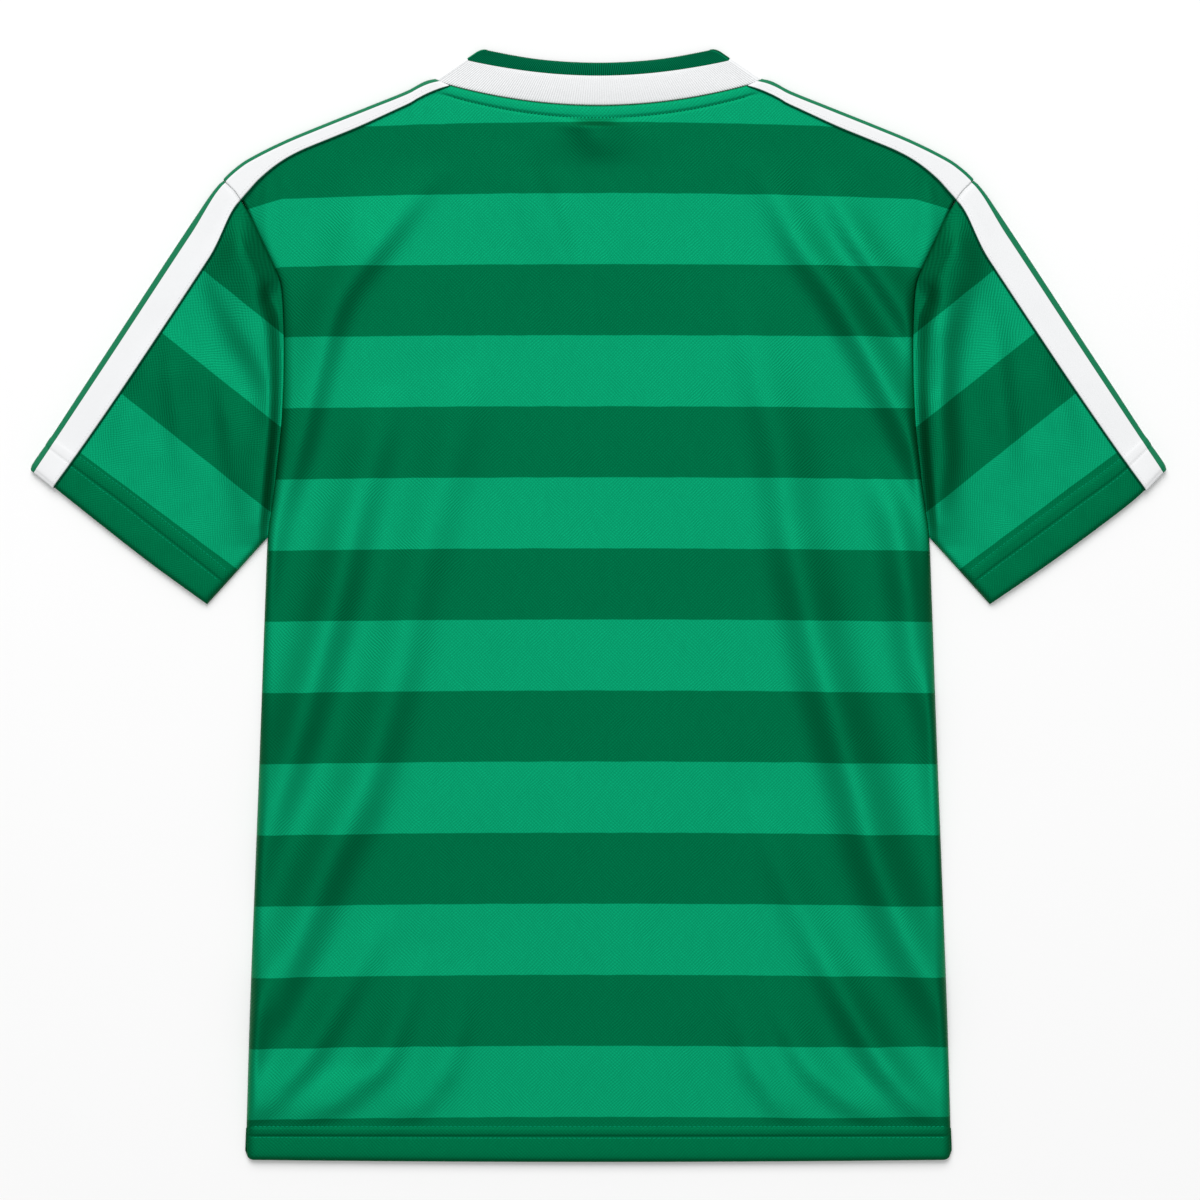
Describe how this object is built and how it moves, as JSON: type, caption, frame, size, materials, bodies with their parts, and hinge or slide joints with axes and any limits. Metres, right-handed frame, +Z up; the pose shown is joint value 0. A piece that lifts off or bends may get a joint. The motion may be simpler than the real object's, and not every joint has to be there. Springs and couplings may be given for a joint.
{
  "type": "short-sleeved football jersey laid flat",
  "caption": "Hooped knit sports shirt lying on its front, with a ribbed crew collar, short sleeves and a tape along each shoulder and sleeve.",
  "frame": {"origin": "on the surface that the jersey lies on, under the middle of its box", "axes": "+X across the body to the right in the picture, +Y from the hem to the collar, +Z up from the surface"},
  "size_m": [0.7946, 0.779, 0.0063],
  "materials": {
    "hooped_knit": "satin polyester knit with hoops in two greens",
    "rib_white": "matt white knitted rib",
    "rib_green": "matt dark green knitted rib",
    "tape_white": "white woven tape with green piping"
  },
  "bodies": {
    "root": {"back_panel": "hooped_knit", "front_panel": "hooped_knit", "sleeve_left": "hooped_knit", "sleeve_right": "hooped_knit", "collar_rib": "rib_white", "collar_edge": "rib_green", "shoulder_tape_left": "tape_white", "shoulder_tape_right": "tape_white", "sleeve_tape_left": "tape_white", "sleeve_tape_right": "tape_white"}
  },
  "joints": []
}
